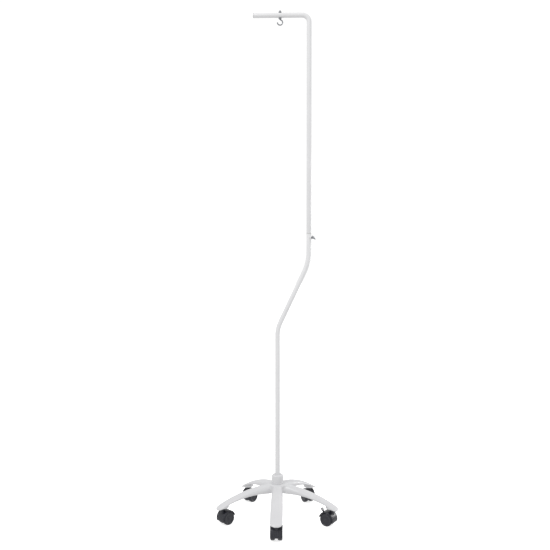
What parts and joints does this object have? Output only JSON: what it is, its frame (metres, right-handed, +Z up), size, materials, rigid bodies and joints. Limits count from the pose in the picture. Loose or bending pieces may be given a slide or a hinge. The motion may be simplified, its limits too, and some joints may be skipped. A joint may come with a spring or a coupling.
{
  "type": "rolling hook stand",
  "caption": "Rolling stand with a five-legged base on twin-wheel casters, a pole that steps sideways, and a turning top arm that carries a hook.",
  "frame": {"origin": "on the floor, at the centre of the outline of the base and casters seen from above", "axes": "+Z up along the pole; +X the way the pole steps sideways; -Y the way the single leg in line with the pole points"},
  "size_m": [0.466, 0.4694, 1.9633],
  "materials": {
    "white_paint": "gloss",
    "white_plastic": "satin",
    "black_plastic": "satin",
    "grey_tread": "satin",
    "zinc": "satin",
    "nylon": "matte"
  },
  "bodies": {
    "base": {"five_star_base": "white_plastic", "pole_socket_bush": "white_plastic", "foot_plug": "zinc", "foot_washer": "zinc", "foot_bolt": "zinc", "lower_pole": "white_paint", "lock_boss": "white_paint", "front_caster_stem": "zinc", "front_grip_ring": "zinc", "right_caster_stem": "zinc", "right_grip_ring": "zinc", "rear_right_caster_stem": "zinc", "rear_right_grip_ring": "zinc", "rear_left_caster_stem": "zinc", "rear_left_grip_ring": "zinc", "left_caster_stem": "zinc", "left_grip_ring": "zinc"},
    "front_caster": {"front_caster_hood": "black_plastic", "front_axle": "zinc"},
    "front_wheel_a": {"front_wheel_a": "grey_tread"},
    "front_wheel_b": {"front_wheel_b": "grey_tread"},
    "right_caster": {"right_caster_hood": "black_plastic", "right_axle": "zinc", "brake_pin": "zinc"},
    "right_wheel_a": {"right_wheel_a": "grey_tread"},
    "right_wheel_b": {"right_wheel_b": "grey_tread"},
    "rear_right_caster": {"rear_right_caster_hood": "black_plastic", "rear_right_axle": "zinc"},
    "rear_right_wheel_a": {"rear_right_wheel_a": "grey_tread"},
    "rear_right_wheel_b": {"rear_right_wheel_b": "grey_tread"},
    "rear_left_caster": {"rear_left_caster_hood": "black_plastic", "rear_left_axle": "zinc"},
    "rear_left_wheel_a": {"rear_left_wheel_a": "grey_tread"},
    "rear_left_wheel_b": {"rear_left_wheel_b": "grey_tread"},
    "left_caster": {"left_caster_hood": "black_plastic", "left_axle": "zinc"},
    "left_wheel_a": {"left_wheel_a": "grey_tread"},
    "left_wheel_b": {"left_wheel_b": "grey_tread"},
    "joint_ring": {"pole_joint_ring": "nylon"},
    "upper_pole": {"upper_pole": "white_paint", "pole_spigot": "zinc", "arm_end_cap": "white_plastic"},
    "hook": {"hook": "zinc", "hook_nut_top": "zinc", "hook_nut_under": "zinc"},
    "lock_pad": {"lock_pad": "nylon"},
    "lock_screw": {"lock_screw": "zinc"},
    "brake_lever": {"brake_lever": "black_plastic"}
  },
  "joints": [
    {"name": "swivel_front", "type": "hinge", "parent": "base", "child": "front_caster", "pos_m": [0, -0.2103, 0.05], "axis": [0, 0, 1], "continuous": true},
    {"name": "wheel_front_a", "type": "hinge", "parent": "front_caster", "child": "front_wheel_a", "pos_m": [0, -0.194, 0.02479], "axis": [-1, 0, 0], "continuous": true},
    {"name": "wheel_front_b", "type": "hinge", "parent": "front_caster", "child": "front_wheel_b", "pos_m": [0, -0.194, 0.02479], "axis": [-1, 0, 0], "continuous": true},
    {"name": "swivel_right", "type": "hinge", "parent": "base", "child": "right_caster", "pos_m": [0.20733, -0.05967, 0.05], "axis": [0, 0, 1], "continuous": true},
    {"name": "wheel_right_a", "type": "hinge", "parent": "right_caster", "child": "right_wheel_a", "pos_m": [0.19321, -0.05152, 0.02479], "axis": [-0.5, -0.866, 0], "continuous": true},
    {"name": "wheel_right_b", "type": "hinge", "parent": "right_caster", "child": "right_wheel_b", "pos_m": [0.19321, -0.05152, 0.02479], "axis": [-0.5, -0.866, 0], "continuous": true},
    {"name": "swivel_rear_right", "type": "hinge", "parent": "base", "child": "rear_right_caster", "pos_m": [0.12814, 0.18407, 0.05], "axis": [0, 0, 1], "continuous": true},
    {"name": "wheel_rear_right_a", "type": "hinge", "parent": "rear_right_caster", "child": "rear_right_wheel_a", "pos_m": [0.12099, 0.19872, 0.02479], "axis": [-0.8988, -0.4384, 0], "continuous": true},
    {"name": "wheel_rear_right_b", "type": "hinge", "parent": "rear_right_caster", "child": "rear_right_wheel_b", "pos_m": [0.12099, 0.19872, 0.02479], "axis": [-0.8988, -0.4384, 0], "continuous": true},
    {"name": "swivel_rear_left", "type": "hinge", "parent": "base", "child": "rear_left_caster", "pos_m": [-0.12814, 0.18407, 0.05], "axis": [0, 0, 1], "continuous": true},
    {"name": "wheel_rear_left_a", "type": "hinge", "parent": "rear_left_caster", "child": "rear_left_wheel_a", "pos_m": [-0.11788, 0.19673, 0.02479], "axis": [-0.7771, 0.6293, 0], "continuous": true},
    {"name": "wheel_rear_left_b", "type": "hinge", "parent": "rear_left_caster", "child": "rear_left_wheel_b", "pos_m": [-0.11788, 0.19673, 0.02479], "axis": [-0.7771, 0.6293, 0], "continuous": true},
    {"name": "swivel_left", "type": "hinge", "parent": "base", "child": "left_caster", "pos_m": [-0.20733, -0.05967, 0.05], "axis": [0, 0, 1], "continuous": true},
    {"name": "wheel_left_a", "type": "hinge", "parent": "left_caster", "child": "left_wheel_a", "pos_m": [-0.19561, -0.04834, 0.02479], "axis": [-0.6947, 0.7193, 0], "continuous": true},
    {"name": "wheel_left_b", "type": "hinge", "parent": "left_caster", "child": "left_wheel_b", "pos_m": [-0.19561, -0.04834, 0.02479], "axis": [-0.6947, 0.7193, 0], "continuous": true},
    {"name": "pole_lift", "type": "slide", "parent": "base", "child": "joint_ring", "axis": [0, 0, 1], "range_m": [0, 0.03]},
    {"name": "pole_turn", "type": "hinge", "parent": "joint_ring", "child": "upper_pole", "pos_m": [0.121, 0.0077, 1.107], "axis": [0, 0, 1], "continuous": true},
    {"name": "hook_turn", "type": "hinge", "parent": "upper_pole", "child": "hook", "pos_m": [0.0094, 0.0077, 1.9448], "axis": [0, 0, 1], "continuous": true},
    {"name": "lock_pad_slide", "type": "slide", "parent": "base", "child": "lock_pad", "axis": [0.7071, -0.7071, 0], "range_m": [0, 0.002]},
    {"name": "lock_screw_turn", "type": "hinge", "parent": "lock_pad", "child": "lock_screw", "pos_m": [0.121, 0.0077, 1.0925], "axis": [0.7071, -0.7071, 0], "range_deg": [0, 720]},
    {"name": "brake_lever", "type": "hinge", "parent": "right_caster", "child": "brake_lever", "pos_m": [0.17867, -0.04312, 0.03654], "axis": [-0.5, -0.866, 0], "range_deg": [0, 14]}
  ],
  "couplings": [
    {"joint": "lock_pad_slide", "follows": "lock_screw_turn", "m_per_rad": 0.00015915}
  ]
}
